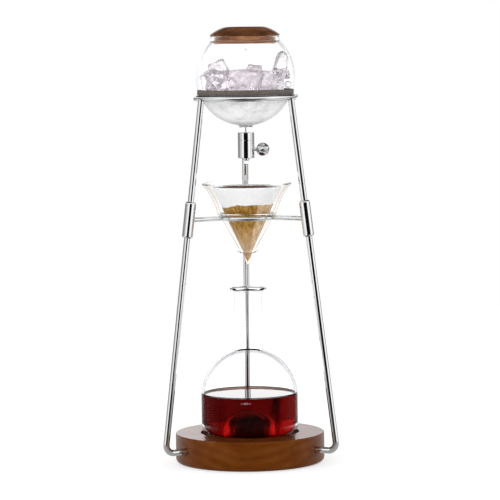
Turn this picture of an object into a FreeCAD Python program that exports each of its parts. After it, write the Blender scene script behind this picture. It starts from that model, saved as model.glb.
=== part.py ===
import FreeCAD, Part
import math
import os

# Cold drip coffee tower, in millimetres. The origin is the centre of the pad's underside, +Z is up,
# the front is -Y and the drip valve's knob points along +X.

# Clearances
running_gap = 0.05          # round a rod, spigot or stem in its bore
contact_gap = 0.05          # between a liquid or gasket and the wall that it lies against
lift_gap = 0.3              # under and round whatever lifts off its seat

# Wooden base and the pad under it
base_radius = 82.5
base_thickness = 32.6
base_top_easing = 1.2
base_bottom_rounding = 5.0
pad_radius = 70.0
pad_thickness = 2.0
pad_stand = 0.5             # how far the pad stands proud of the wood
recess_depth = 5.0          # the seat for the flask
recess_play = 1.2

# Wire frame
leg_angles = {"left": -150.0, "right": -30.0, "rear": 90.0}
wire_radius = 3.5
leg_lean = 7.65             # degrees from upright
leg_bend_radius = 9.0
leg_entry_height = 18.0
leg_insertion = 24.5        # how deep a leg goes into the wood
leg_hole_radius = 4.0
leg_top_drop = 2.0          # from the globe ring's centre line down to a leg's cut end
leg_ring_offset = 1.8       # a leg meets the ring this far outside its centre line
ring_height = 404.0
ring_seat_angle = 23.2      # degrees below the middle of the globe where the ring carries it
bush_length = 10.0
bush_recess = 6.0
screw_radius = 2.0
screw_length = 10.4
screw_from_end = 3.0        # from the end of a leg to its clamping screw

# Sleeves, spokes and the ring for the dripper
sleeve_radius = 6.0
sleeve_length = 40.0
sleeve_rounding = 2.2
sleeve_web = 9.0            # solid middle between the two bores
dripper_ring_drop = 132.0   # below the globe ring
dripper_ring_radius = 31.15
dripper_wire_radius = 2.5
spoke_socket_depth = 5.0

# Globe
globe_radius = 54.6
globe_wall = 2.2
globe_neck_radius = 6.85
globe_neck_wall = 2.0
globe_neck_length = 13.3    # from the bottom of the sphere down
globe_flare = 3.2
globe_mouth_radius = 38.6
mouth_lip_radius = 35.2
mouth_lip_height = 5.3
vent_radius = 1.0
vent_rise = 29.6            # above the middle of the globe
cushion_thickness = 1.2     # between the wire and the glass
cushion_inset = 1.2         # from the ring's centre line in to the cushion's outside
cushion_above = 8.8         # above and below the ring's centre line
cushion_below = 2.5

# Ice and water in the globe
ice_water_share = 0.66      # how high it stands above the bottom, as a share of the globe's radius
cube_share = 0.382          # a cube's width, as a share of the globe's inner radius
cube_ring_share = 0.582     # where the ring of cubes stands
top_cube_left_share = 0.496     # where the two upper cubes stand
top_cube_right_share = 0.553
cube_height_share = 0.9     # of a cube's width
cube_count = 6
cube_chamfer_count = 12     # a cube's width has room for this many of its chamfers

# Lid
lid_radius = 38.3
lid_overhang_thickness = 1.3
lid_crown_radius = 21.5
lid_crown_height = 10.2     # from the overhang's underside to the top
lid_plug_radius = 34.0
lid_plug_depth = 8.8
seal_height = 3.0
seal_depth = 1.5            # how deep its groove is
seal_from_bottom = 1.3

# Drip valve
valve_radius = 9.2
valve_body_height = 19.7
valve_collar_height = 8.5
collar_wall = 1.3
spigot_height = 2.3
spigot_edge = 0.3           # step between the spigot's top and the glass neck
valve_bore_radius = 1.25
needle_bore_radius = 2.5
needle_drop = 10.3          # from the top of the body to the needle's axis
needle_seat = 2.2           # from the valve's axis to where the needle's bore widens
needle_tip = 2.0
needle_shoulder_end = 8.4
stem_radius = 1.75
seal_ring_radius = 0.45     # section of the two rings on the needle
seal_ring_places = (4.2, 6.4)
knob_radius = 7.4
knob_neck = 1.6             # stem showing between the body and the knob
knob_socket_depth = 8.0
nozzle_radius = 3.5
nozzle_drop = 3.0
nozzle_spigot = 4.0
nozzle_bore_radius = 1.0

# Dripper, paper and coffee bed
dripper_wall = 2.0
dripper_rim_radius = 49.4
dripper_rise = 36.5         # rim above the ring's centre line
dripper_cone_height = 35.0  # from the ring's centre line down to the outlet
dripper_waist_radius = 37.0
dripper_waist_rise = 17.3
dripper_shoulder_radius = 32.3
outlet_radius = 7.0
outlet_lip_radius = 11.8
outlet_lip_height = 4.0
paper_thickness = 0.5
paper_mouth_radius = 38.8
paper_below_rim = 2.2
paper_play = 0.4            # round the paper in the outlet
bed_below_paper = 1.8

# Flask and the brewed coffee
flask_radius = 53.5
flask_wall = 2.0
flask_corner = 12.5
flask_body_height = 44.4    # from its foot to the middle of the dome
flask_neck_radius = 15.0
flask_neck_top = 158.4      # above its foot
flask_lip_radius = 20.2
flask_lip_height = 7.0
punt_radius = 21.0          # of the round-topped hollow under the flask
punt_height = 29.2
punt_rounding = 4.0         # where the hollow meets the foot
coffee_depth = 47.2         # from the flask's foot to the surface

# Places that follow from the sizes above
base_top = pad_stand + base_thickness
lean = math.radians(leg_lean)
seat_reach = globe_radius + wire_radius + cushion_thickness
ring_radius = seat_reach * math.cos(math.radians(ring_seat_angle))
globe_middle = ring_height + seat_reach * math.sin(math.radians(ring_seat_angle))
globe_inside = globe_radius - globe_wall
globe_bottom = globe_middle - globe_radius
neck_bottom = globe_bottom - globe_neck_length
mouth_height = globe_middle + math.sqrt(globe_radius ** 2 - globe_mouth_radius ** 2)
globe_top = mouth_height + mouth_lip_height
ice_water_top = globe_bottom + globe_radius * ice_water_share
cube_size = globe_inside * cube_share
cube_height = cube_size * cube_height_share
lid_underside = globe_top + lift_gap
spigot_top = neck_bottom - spigot_edge
valve_top = spigot_top - spigot_height
valve_bottom = valve_top - valve_body_height
needle_height = valve_top - needle_drop
knob_centre = valve_radius + knob_neck + knob_radius
nozzle_socket = valve_bottom + nozzle_spigot
dripper_ring_height = ring_height - dripper_ring_drop
dripper_rim = dripper_ring_height + dripper_rise
outlet_height = dripper_ring_height - dripper_cone_height
paper_top = dripper_rim - paper_below_rim
paper_at_outlet = outlet_radius - paper_play
paper_slope = (paper_mouth_radius - paper_at_outlet) / (paper_top - outlet_height)
paper_tip = outlet_height - paper_at_outlet / paper_slope
bed_top = paper_top - bed_below_paper
flask_foot = base_top - recess_depth + lift_gap
dome_middle = flask_foot + flask_body_height
coffee_top = flask_foot + coffee_depth

up = FreeCAD.Vector(0, 0, 1)
across = FreeCAD.Vector(1, 0, 0)
middle = FreeCAD.Vector(0, 0, 0)
half_diagonal = math.sqrt(0.5)


def vector(x, y, z):
    return FreeCAD.Vector(x, y, z)


def save(name, *solids):
    shape = solids[0] if len(solids) == 1 else Part.makeCompound(list(solids))
    shape.exportStep(os.path.join("parts", name + ".step"))
    print(name, "solids", len(shape.Solids), "volume", round(shape.Volume, 1), "valid", shape.isValid())


def cylinder(radius, low, high):
    return Part.makeCylinder(radius, high - low, vector(0, 0, low), up)


def turned(*outline):
    # Each corner is (radius, height). Two more numbers name a point on the arc that leads to it.
    edges = []
    start = vector(outline[-1][0], 0, outline[-1][1])
    for corner in outline:
        end = vector(corner[0], 0, corner[1])
        if len(corner) == 4:
            edges.append(Part.Arc(start, vector(corner[2], 0, corner[3]), end).toShape())
        else:
            edges.append(Part.LineSegment(start, end).toShape())
        start = end
    return Part.Face(Part.Wire(edges)).revolve(middle, up, 360)


def around(shape, angle):
    turned_shape = shape.copy()
    turned_shape.rotate(middle, up, angle)
    return turned_shape


def rod(start, end, radius):
    run = end.sub(start)
    return Part.makeCylinder(radius, run.Length, start, run)


# Lines that the legs follow, for a leg that stands along +X

def leg_place(height):
    # A point on the straight part of the leg
    return vector(ring_radius + leg_ring_offset + (ring_height - height) * math.tan(lean), 0, height)


def along_leg(distance):
    # A point on the leg's axis, measured up from the middle of the sleeve
    return leg_place(dripper_ring_height).add(leg_direction().multiply(distance))


def leg_direction():
    return vector(-math.sin(lean), 0, math.cos(lean))


def leg_end_radius():
    return base_radius - leg_insertion


# Base

def wooden_base():
    recess_radius = flask_radius + recess_play
    wood = turned(
        (0, pad_stand),
        (base_radius - base_bottom_rounding, pad_stand),
        (base_radius, pad_stand + base_bottom_rounding,
         base_radius - base_bottom_rounding * (1 - half_diagonal),
         pad_stand + base_bottom_rounding * (1 - half_diagonal)),
        (base_radius, base_top - base_top_easing),
        (base_radius - base_top_easing, base_top,
         base_radius - base_top_easing * (1 - half_diagonal),
         base_top - base_top_easing * (1 - half_diagonal)),
        (0, base_top))
    wood = wood.cut(cylinder(recess_radius, base_top - recess_depth, base_top + 1))
    wood = wood.cut(cylinder(pad_radius + lift_gap, 0, pad_thickness))
    leg_hole = rod(vector(leg_end_radius() - 1, 0, leg_entry_height),
                   vector(base_radius + 1, 0, leg_entry_height), leg_hole_radius)
    screw_hole = rod(vector(leg_end_radius() + screw_from_end, 0, 0),
                     vector(leg_end_radius() + screw_from_end, 0, leg_entry_height), screw_radius)
    for angle in leg_angles.values():
        wood = wood.cut(around(leg_hole.fuse(screw_hole), angle))
    return wood


def base_pad():
    return cylinder(pad_radius, 0, pad_thickness)


def leg_bush():
    outer_end = base_radius - bush_recess
    start = vector(outer_end - bush_length, 0, leg_entry_height)
    end = vector(outer_end, 0, leg_entry_height)
    sleeve = rod(start, end, leg_hole_radius - running_gap)
    return sleeve.cut(rod(start, end, wire_radius + running_gap))


def leg_set_screw():
    top = leg_entry_height - wire_radius - running_gap
    x = leg_end_radius() + screw_from_end
    screw = rod(vector(x, 0, top - screw_length), vector(x, 0, top), screw_radius - running_gap)
    hexagon = Part.makePolygon([
        vector(x + screw_radius / 2 * math.cos(math.radians(turn)),
               screw_radius / 2 * math.sin(math.radians(turn)), top - screw_length)
        for turn in range(0, 361, 60)])
    return screw.cut(Part.Face(hexagon).extrude(vector(0, 0, screw_radius)))


# Frame

def lower_leg():
    turn = 90 + leg_lean
    bend_middle_height = leg_entry_height + leg_bend_radius
    bend_end_height = bend_middle_height + leg_bend_radius * math.sin(lean)
    bend_start = leg_place(bend_end_height).x - leg_bend_radius * math.cos(lean)
    stub = rod(vector(leg_end_radius(), 0, leg_entry_height),
               vector(bend_start, 0, leg_entry_height), wire_radius)
    section = Part.Face(Part.Wire(
        Part.Circle(vector(bend_start, 0, leg_entry_height), across, wire_radius).toShape()))
    bend = section.revolve(vector(bend_start, 0, bend_middle_height), vector(0, -1, 0), turn)
    riser = rod(leg_place(bend_end_height), along_leg(-sleeve_web / 2), wire_radius)
    return stub.fuse([bend, riser]).removeSplitter()


def sleeve():
    body = rod(along_leg(-sleeve_length / 2), along_leg(sleeve_length / 2), sleeve_radius)
    rims = [edge for edge in body.Edges if len(edge.Vertexes) == 1]
    body = body.makeFillet(sleeve_rounding, rims)
    for side in (-1, 1):
        body = body.cut(rod(along_leg(side * sleeve_web / 2), along_leg(side * sleeve_length),
                            wire_radius + running_gap))
    return body.cut(rod(vector(0, 0, dripper_ring_height), spoke_end(), dripper_wire_radius + running_gap))


def upper_leg():
    top = (ring_height - leg_top_drop - dripper_ring_height) / math.cos(lean)
    riser = rod(along_leg(sleeve_web / 2), along_leg(top), wire_radius)
    return riser.cut(globe_ring())


def globe_ring():
    return Part.makeTorus(ring_radius, wire_radius, vector(0, 0, ring_height), up)


def dripper_ring():
    return Part.makeTorus(dripper_ring_radius, dripper_wire_radius,
                          vector(0, 0, dripper_ring_height), up)


def spoke_end():
    return vector(leg_place(dripper_ring_height).x - sleeve_radius + spoke_socket_depth, 0,
                  dripper_ring_height)


def spoke():
    start = vector(dripper_ring_radius + dripper_wire_radius / 2, 0, dripper_ring_height)
    return rod(start, spoke_end(), dripper_wire_radius).cut(dripper_ring())


# Globe and lid

def globe_form(inset, neck_inset):
    # The solid inside the globe's outer face, or inside a face that lies that much further in
    sphere = globe_radius - inset
    neck = globe_neck_radius - neck_inset
    flare_end = neck + globe_flare
    flare_top = globe_middle - math.sqrt(sphere ** 2 - flare_end ** 2)
    flare_low = flare_top - globe_flare
    mouth = math.sqrt(sphere ** 2 - (mouth_height - globe_middle) ** 2)
    return turned(
        (0, neck_bottom),
        (neck, neck_bottom),
        (neck, flare_low),
        (flare_end, flare_top,
         flare_end - globe_flare * half_diagonal, flare_low + globe_flare * half_diagonal),
        (mouth, mouth_height, sphere, globe_middle),
        (0, mouth_height))


def globe():
    lip_width = globe_mouth_radius - mouth_lip_radius
    shoulder = globe_top - lip_width / 2
    lip = turned(
        (mouth_lip_radius, mouth_height - globe_wall / 2),
        (globe_mouth_radius - lip_width / 8, mouth_height - globe_wall / 2),
        (globe_mouth_radius - lip_width / 8, shoulder),
        (mouth_lip_radius, shoulder, mouth_lip_radius + lip_width / 2, globe_top))
    glass = globe_form(0, 0).fuse(lip).cut(globe_form(globe_wall, globe_neck_wall))
    glass = glass.cut(cylinder(mouth_lip_radius, globe_middle + globe_radius / 2, globe_top + 1))
    vent_end = vector(0, -math.sqrt(globe_radius ** 2 - vent_rise ** 2), globe_middle + vent_rise)
    outward = vent_end.sub(vector(0, 0, globe_middle)).normalize()
    vent = rod(vent_end.sub(outward * (2 * globe_wall)), vent_end.add(outward * globe_wall), vent_radius)
    return glass.cut(vent)


def globe_cushion():
    band = cylinder(ring_radius - cushion_inset, ring_height, ring_height + cushion_above)
    skirt_radius = ring_radius - wire_radius - 2 * lift_gap
    skirt = cylinder(skirt_radius, ring_height - cushion_below, ring_height)
    seat = Part.makeSphere(globe_radius + contact_gap, vector(0, 0, globe_middle))
    wire = Part.makeTorus(ring_radius, wire_radius + lift_gap, vector(0, 0, ring_height), up)
    return band.fuse(skirt).cut(seat).cut(wire).removeSplitter()


def ice_water():
    inset = globe_wall + contact_gap
    fill = globe_form(inset, globe_neck_wall + contact_gap)
    return fill.common(cylinder(globe_radius, neck_bottom, ice_water_top))


def ice_cube(x, y, low, height, size, turn):
    cube = Part.makeBox(size, size, height, vector(-size / 2, -size / 2, low))
    cube = cube.makeChamfer(size / cube_chamfer_count, cube.Edges)
    cube.rotate(middle, up, turn)
    cube.translate(vector(x, y, 0))
    return cube


def ice_cubes():
    # Cubes that stand on the frozen fill, one in the middle and a ring round it, and two on top
    cubes = [ice_cube(0, 0, ice_water_top, cube_height, cube_size, 20)]
    for i in range(cube_count):
        angle = 2 * math.pi * i / cube_count
        x = globe_inside * cube_ring_share * math.cos(angle)
        y = globe_inside * cube_ring_share * math.sin(angle)
        height = cube_height if i % 3 == 0 else cube_height * 0.94
        cubes.append(ice_cube(x, y, ice_water_top, height, cube_size, 35 * i + 10))
    second_layer = ice_water_top + cube_height
    left = -globe_inside * top_cube_left_share
    right = globe_inside * top_cube_right_share
    cubes.append(ice_cube(left, 0, second_layer, cube_height * 0.94, cube_size, 25))
    cubes.append(ice_cube(right, 0, second_layer, cube_height * 0.78, cube_size * 0.9, 50))
    return cubes


def lid():
    plug_bottom = lid_underside - lid_plug_depth
    overhang_top = lid_underside + lid_overhang_thickness
    crown = lid_underside + lid_crown_height
    crown_mid_radius = (lid_radius + lid_crown_radius) / 2
    crown_mid_height = (overhang_top + crown) / 2 + 0.11 * (lid_crown_height - lid_overhang_thickness)
    wood = turned(
        (0, plug_bottom),
        (lid_plug_radius, plug_bottom),
        (lid_plug_radius, lid_underside),
        (lid_radius, lid_underside),
        (lid_radius, overhang_top),
        (lid_crown_radius, crown - base_top_easing / 4, crown_mid_radius, crown_mid_height),
        (0, crown))
    groove_low = plug_bottom + seal_from_bottom
    groove = cylinder(lid_plug_radius + 1, groove_low, groove_low + seal_height)
    groove = groove.cut(cylinder(lid_plug_radius - seal_depth, groove_low, groove_low + seal_height))
    return wood.cut(groove)


def lid_seal():
    low = lid_underside - lid_plug_depth + seal_from_bottom
    high = low + seal_height
    inner = lid_plug_radius - seal_depth + running_gap
    outer = mouth_lip_radius - lift_gap
    edge = seal_height / 4
    return turned((inner, low), (outer - edge, low), (outer - edge, high, outer, (low + high) / 2),
                  (inner, high))


# Drip valve

def collar_bore():
    return valve_radius - collar_wall


def valve_collar():
    ring = cylinder(valve_radius, valve_top, valve_top + valve_collar_height)
    rims = [edge for edge in ring.Edges if len(edge.Vertexes) == 1]
    ring = ring.makeChamfer(running_gap * 6, rims)
    return ring.cut(cylinder(collar_bore(), valve_top, valve_top + valve_collar_height))


def neck_gasket():
    gasket = cylinder(collar_bore() - running_gap, spigot_top + contact_gap,
                      valve_top + valve_collar_height - running_gap)
    # The neck stands on its lower end, round the bore that the water drips through
    water_way = cylinder(globe_neck_radius - globe_neck_wall, valve_top, neck_bottom)
    return gasket.cut(water_way).cut(cylinder(globe_neck_radius + contact_gap,
                                              neck_bottom, globe_middle))


def valve_body():
    body = cylinder(valve_radius, valve_bottom, valve_top)
    rims = [edge for edge in body.Edges if len(edge.Vertexes) == 1]
    body = body.makeChamfer(running_gap * 6, rims)
    body = body.fuse(cylinder(collar_bore() - running_gap, valve_top, spigot_top))
    body = body.cut(cylinder(valve_bore_radius, nozzle_socket, spigot_top))
    body = body.cut(cylinder(nozzle_radius * 0.7 + running_gap, valve_bottom, nozzle_socket))
    seat = rod(vector(0, 0, needle_height), vector(needle_seat, 0, needle_height), valve_bore_radius)
    bore = rod(vector(needle_seat, 0, needle_height), vector(valve_radius + 1, 0, needle_height),
               needle_bore_radius)
    return body.cut(seat.fuse(bore))


def drip_nozzle():
    rounding = nozzle_radius * 0.3
    low = valve_bottom - nozzle_drop
    nozzle = turned(
        (0, low),
        (nozzle_radius - rounding, low),
        (nozzle_radius, low + rounding,
         nozzle_radius - rounding * (1 - half_diagonal), low + rounding * (1 - half_diagonal)),
        (nozzle_radius, valve_bottom),
        (nozzle_radius * 0.7, valve_bottom),
        (nozzle_radius * 0.7, nozzle_socket - running_gap),
        (0, nozzle_socket - running_gap))
    return nozzle.cut(cylinder(nozzle_bore_radius, low, nozzle_socket))


def along_x(shape):
    # A shape turned about Z, laid along +X at the needle's height
    laid = shape.copy()
    laid.rotate(middle, vector(0, 1, 0), 90)
    laid.translate(vector(0, 0, needle_height))
    return laid


def valve_needle():
    tip = needle_seat - needle_tip
    shoulder = needle_bore_radius - running_gap
    stem_end = knob_centre - knob_radius + knob_socket_depth
    needle = turned(
        (0, tip),
        (valve_bore_radius - 2 * running_gap, needle_seat),
        (valve_bore_radius - 2 * running_gap, needle_seat + running_gap * 4),
        (shoulder, needle_seat + running_gap * 16),
        (shoulder, needle_shoulder_end),
        (stem_radius, needle_shoulder_end),
        (stem_radius, stem_end - running_gap),
        (0, stem_end - running_gap))
    groove_width = seal_ring_radius + running_gap
    for place in seal_ring_places:
        groove = cylinder(shoulder + 1, place - groove_width, place + groove_width)
        core = cylinder(shoulder - 2 * groove_width, place - groove_width, place + groove_width)
        needle = needle.cut(groove.cut(core))
    return along_x(needle)


def needle_seals():
    ring_middle = needle_bore_radius - running_gap - seal_ring_radius
    return [along_x(Part.makeTorus(ring_middle, seal_ring_radius, vector(0, 0, place), up))
            for place in seal_ring_places]


def ball_knob():
    ball = Part.makeSphere(knob_radius, vector(knob_centre, 0, needle_height))
    start = vector(knob_centre - knob_radius - 1, 0, needle_height)
    end = vector(knob_centre - knob_radius + knob_socket_depth, 0, needle_height)
    return ball.cut(rod(start, end, stem_radius + running_gap))


# Dripper

def dripper_cone():
    wall = dripper_wall
    cone_top = dripper_ring_height - dripper_wire_radius / 2
    ring_side = dripper_ring_radius - dripper_wire_radius - lift_gap
    seat = dripper_ring_height + dripper_wire_radius + lift_gap
    outlet_outer = outlet_radius + wall * 1.1
    lip_low = outlet_height - outlet_lip_height
    return turned(
        (outlet_radius, outlet_height),
        (outlet_lip_radius - wall / 2, lip_low,
         outlet_radius + (outlet_lip_radius - outlet_radius) * 0.2, lip_low + outlet_lip_height * 0.3),
        (outlet_lip_radius - wall / 4, lip_low + wall * 0.6, outlet_lip_radius, lip_low + wall * 0.25),
        (outlet_outer, outlet_height,
         outlet_outer + (outlet_lip_radius - outlet_outer) * 0.25, lip_low + outlet_lip_height * 0.6),
        (ring_side - lift_gap / 2, cone_top),
        (dripper_shoulder_radius, seat + dripper_wire_radius / 4,
         dripper_ring_radius - (dripper_wire_radius + 2 * lift_gap) * half_diagonal,
         dripper_ring_height + (dripper_wire_radius + 2 * lift_gap) * half_diagonal),
        (dripper_rim_radius, dripper_rim,
         dripper_waist_radius, dripper_ring_height + dripper_waist_rise),
        (dripper_rim_radius - wall, dripper_rim + wall / 4,
         dripper_rim_radius - wall * 0.4, dripper_rim + wall * 0.6),
        (dripper_shoulder_radius - wall, seat + wall,
         dripper_waist_radius - wall, dripper_ring_height + dripper_waist_rise + wall / 4),
        (ring_side - wall * 1.2, cone_top + wall / 4,
         ring_side - wall * 0.55, dripper_ring_height + wall * 1.55))


def paper_cone(inset, low, high):
    radius_low = max(paper_slope * (low - paper_tip) - inset, 0)
    return turned((0, low), (radius_low + paper_thickness / 4, low),
                  (paper_slope * (high - paper_tip) - inset, high), (0, high))


def filter_paper():
    inner_tip = paper_tip + 2 * paper_thickness / paper_slope
    return paper_cone(0, paper_tip, paper_top).cut(paper_cone(paper_thickness, inner_tip, paper_top + 1))


def coffee_bed():
    low = paper_tip + 3 * paper_thickness / paper_slope
    return paper_cone(paper_thickness + contact_gap, low, bed_top)


# Flask

def flask_form(inset, top):
    # The solid inside the flask's outer face, or inside a face that lies that much further in
    belly = flask_radius - inset
    neck = flask_neck_radius - inset
    floor = flask_foot + inset
    corner = flask_corner - inset
    punt = punt_radius + inset
    punt_middle = flask_foot + punt_height - punt_radius
    edge = punt_rounding - inset
    return turned(
        (0, punt_middle + punt),
        (punt, punt_middle, punt * half_diagonal, punt_middle + punt * half_diagonal),
        (punt, floor + edge),
        (punt + edge, floor,
         punt + edge * (1 - half_diagonal), floor + edge * (1 - half_diagonal)),
        (belly - corner, floor),
        (belly, floor + corner,
         belly - corner * (1 - half_diagonal), floor + corner * (1 - half_diagonal)),
        (belly, dome_middle),
        (neck, dome_middle + math.sqrt(belly ** 2 - neck ** 2),
         belly * half_diagonal, dome_middle + belly * half_diagonal),
        (neck, top),
        (0, top))


def flask():
    neck_top = flask_foot + flask_neck_top
    lip_top = neck_top + flask_lip_height
    inner = flask_neck_radius - flask_wall
    glass = flask_form(0, neck_top).cut(flask_form(flask_wall, neck_top))
    flare = flask_lip_radius - flask_neck_radius
    lip = turned(
        (inner, neck_top - 1),
        (flask_neck_radius, neck_top - 1),
        (flask_neck_radius, neck_top),
        (flask_lip_radius, lip_top - flask_wall,
         flask_neck_radius + flare * 0.35, neck_top + (flask_lip_height - flask_wall) * 0.7),
        (flask_lip_radius - flask_wall, lip_top,
         flask_lip_radius - flask_wall * 0.2, lip_top - flask_wall * 0.2),
        (inner, neck_top, inner + flare * 0.35, neck_top + flask_lip_height * 0.62))
    return glass.fuse(lip).removeSplitter()


def brewed_coffee():
    return flask_form(flask_wall + contact_gap, flask_foot + flask_neck_top).common(
        cylinder(flask_radius, flask_foot, coffee_top))


os.makedirs("parts", exist_ok=True)
save("wooden_base", wooden_base())
save("base_pad", base_pad())
save("leg_bushes", *[around(leg_bush(), angle) for angle in leg_angles.values()])
save("leg_set_screws", *[around(leg_set_screw(), angle) for angle in leg_angles.values()])
for side, angle in leg_angles.items():
    save("lower_leg_" + side, around(lower_leg(), angle))
    save("sleeve_" + side, around(sleeve(), angle))
    save("upper_leg_" + side, around(upper_leg(), angle))
    save("spoke_" + side, around(spoke(), angle))
save("globe_ring", globe_ring())
save("dripper_ring", dripper_ring())
save("globe", globe())
save("globe_cushion", globe_cushion())
save("ice_water", ice_water())
save("ice_cubes", *ice_cubes())
save("lid", lid())
save("lid_seal", lid_seal())
save("neck_gasket", neck_gasket())
save("valve_collar", valve_collar())
save("valve_body", valve_body())
save("drip_nozzle", drip_nozzle())
save("valve_needle", valve_needle())
save("needle_seals", *needle_seals())
save("ball_knob", ball_knob())
save("dripper_cone", dripper_cone())
save("filter_paper", filter_paper())
save("coffee_bed", coffee_bed())
save("flask", flask())
save("brewed_coffee", brewed_coffee())
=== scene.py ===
import math
import random

import bmesh
import bpy
from mathutils import Matrix, Vector, noise


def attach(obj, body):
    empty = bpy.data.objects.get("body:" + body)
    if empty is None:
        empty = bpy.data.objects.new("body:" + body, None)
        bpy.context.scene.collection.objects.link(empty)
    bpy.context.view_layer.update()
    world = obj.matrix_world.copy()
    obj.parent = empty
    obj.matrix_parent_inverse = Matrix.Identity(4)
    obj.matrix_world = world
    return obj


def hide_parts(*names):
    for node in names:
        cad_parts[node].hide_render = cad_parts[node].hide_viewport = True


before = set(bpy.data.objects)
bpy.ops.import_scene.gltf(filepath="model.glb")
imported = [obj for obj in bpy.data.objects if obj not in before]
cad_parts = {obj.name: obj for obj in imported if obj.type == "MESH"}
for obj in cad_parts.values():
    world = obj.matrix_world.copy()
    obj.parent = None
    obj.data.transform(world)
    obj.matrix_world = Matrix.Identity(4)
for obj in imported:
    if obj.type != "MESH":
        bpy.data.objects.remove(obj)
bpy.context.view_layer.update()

mm = 0.001


# Shared helpers

def linear(hexColour):
    # "#RRGGBB" as the screen shows it, turned to the linear colour that shaders take
    channels = [int(hexColour[i:i + 2], 16) / 255 for i in (1, 3, 5)]
    return [c / 12.92 if c <= 0.04045 else ((c + 0.055) / 1.055) ** 2.4 for c in channels] + [1.0]


def addNode(tree, kind, values=None, links=None, stops=None, out=0, **settings):
    # Adds a node with its settings and links, and gives back one of its outputs, or all of them
    made = tree.nodes.new("ShaderNode" + kind)
    for name, value in settings.items():
        setattr(made, name, value)
    for name, value in (values or {}).items():
        made.inputs[name].default_value = value
    for name, source in (links or {}).items():
        tree.links.new(source, made.inputs[name])
    if stops:
        elements = made.color_ramp.elements
        while len(elements) < len(stops):
            elements.new(0.5)
        for element, (place, colour) in zip(elements, stops):
            element.position = place
            element.color = colour if not isinstance(colour, (int, float)) else [colour] * 3 + [1.0]
    return made.outputs if out == "all" else made.outputs[out]


def newMaterial(name):
    # An empty material, with the socket that its shader goes to and the place on the piece
    material = bpy.data.materials.new(name)
    material.use_nodes = True
    tree = material.node_tree
    tree.nodes.clear()
    output = tree.nodes.new("ShaderNodeOutputMaterial")
    place = addNode(tree, "TexCoord", out="Object")
    return material, tree, output.inputs["Surface"], place


def stretched(tree, place, x, y, z):
    # Object coordinates in steps of so many millimetres along each axis
    return addNode(tree, "Mapping", {"Scale": (1 / (x * mm), 1 / (y * mm), 1 / (z * mm))}, {"Vector": place})


def seenByLamps(tree, surface, shader, colour="#FFFFFF"):
    # Lamps shine through glass, so what stands inside it isn't left in the dark
    shadow = addNode(tree, "LightPath", out="Is Shadow Ray")
    clear = addNode(tree, "BsdfTransparent", {"Color": linear(colour)})
    tree.links.new(addNode(tree, "MixShader", links={0: shadow, 1: shader, 2: clear}), surface)


def turned(outline, steps=96, closed=False):
    # An outline of radius and height, turned about Z into a skin
    build = bmesh.new()
    corners = [build.verts.new((radius, 0, height)) for radius, height in outline]
    edges = [build.edges.new(pair) for pair in zip(corners, corners[1:])]
    if closed:
        edges.append(build.edges.new((corners[-1], corners[0])))
    bmesh.ops.spin(build, geom=corners + edges, cent=(0, 0, 0), axis=(0, 0, 1), angle=2 * math.pi,
                   steps=steps, use_merge=True)
    bmesh.ops.remove_doubles(build, verts=build.verts, dist=1e-6)
    bmesh.ops.recalc_face_normals(build, faces=build.faces)
    return build


def arc(centreRadius, centreHeight, radius, start, end, steps):
    # Points of an arc in an outline; angles in degrees from the outward direction, towards +Z
    angles = [math.radians(start + (end - start) * i / steps) for i in range(steps + 1)]
    return [(centreRadius + radius * math.cos(a), centreHeight + radius * math.sin(a)) for a in angles]


def finished(build, name, body, material, smooth=True, replaces=()):
    mesh = bpy.data.meshes.new(name)
    build.to_mesh(mesh)
    build.free()
    piece = bpy.data.objects.new(name, mesh)
    bpy.context.scene.collection.objects.link(piece)
    for face in mesh.polygons:
        face.use_smooth = smooth
    mesh.materials.append(material)
    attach(piece, body)
    if replaces:
        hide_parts(*replaces)


def dress(material, *nodes):
    for name in nodes:
        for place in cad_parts[name].material_slots:
            place.material = material


# Camera

cameraSet = {"away": 3.03, "height": 0.4792, "lens": 198, "side": 1.2, "pitch": 4.6, "roll": -0.76,
             "aimRight": 2.7 * mm}


def addCamera():
    side = math.radians(cameraSet["side"])
    turn = math.atan(cameraSet["aimRight"] / cameraSet["away"])
    back = Vector((-math.sin(side), -math.cos(side), 0))
    data = bpy.data.cameras.new("studioCamera")
    data.lens = cameraSet["lens"]
    data.clip_start = 0.1
    data.clip_end = 100
    camera = bpy.data.objects.new("studioCamera", data)
    bpy.context.scene.collection.objects.link(camera)
    camera.matrix_world = (
        Matrix.Translation(back * cameraSet["away"] + Vector((0, 0, cameraSet["height"])))
        @ Matrix.Rotation(-side - turn, 4, "Z")
        @ Matrix.Rotation(math.radians(90 - cameraSet["pitch"]), 4, "X")
        @ Matrix.Rotation(math.radians(cameraSet["roll"]), 4, "Z"))
    bpy.context.scene.camera = camera
    print("camera placed")


# Studio

studioSet = {"fill": 0.92, "fillInGlass": 1.65, "screenStrength": 1.2, "gapLean": 2.1, "ceilingDrop": 0.4,
             "backdropTurn": 30, "backdropStrength": 1.25, "coffeeStarts": 4.5, "hollowStarts": 6.5,
             "floorSize": 1.6, "floorColour": "#E9E9E9", "throughCoffeeLeft": 0.17,
             "throughCoffeeRight": 0.32, "keyPower": 5.0, "keySize": 0.9, "keyPlace": (-1.1, -1.3, 1.5),
             "keyAim": (0, 0, 0.25)}

# What metal mirrors at eye level: degrees from the front, to the left below zero, with how bright it is.
# A dark gap stands in front where the camera is, white screens at both sides, black cards behind them
screenStops = ((-180, 0.87), (-166, 0.80), (-152, 0.25), (-120, 0.22), (-99, 0.30), (-80, 0.55),
               (-63, 0.76), (-46, 0.98), (-33, 1.0), (-28, 0.004), (27, 0.004), (32, 0.95), (62, 1.0),
               (80, 0.86), (98, 0.42), (114, 0.22), (130, 0.28), (152, 0.25), (166, 0.80), (180, 0.87))
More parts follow.
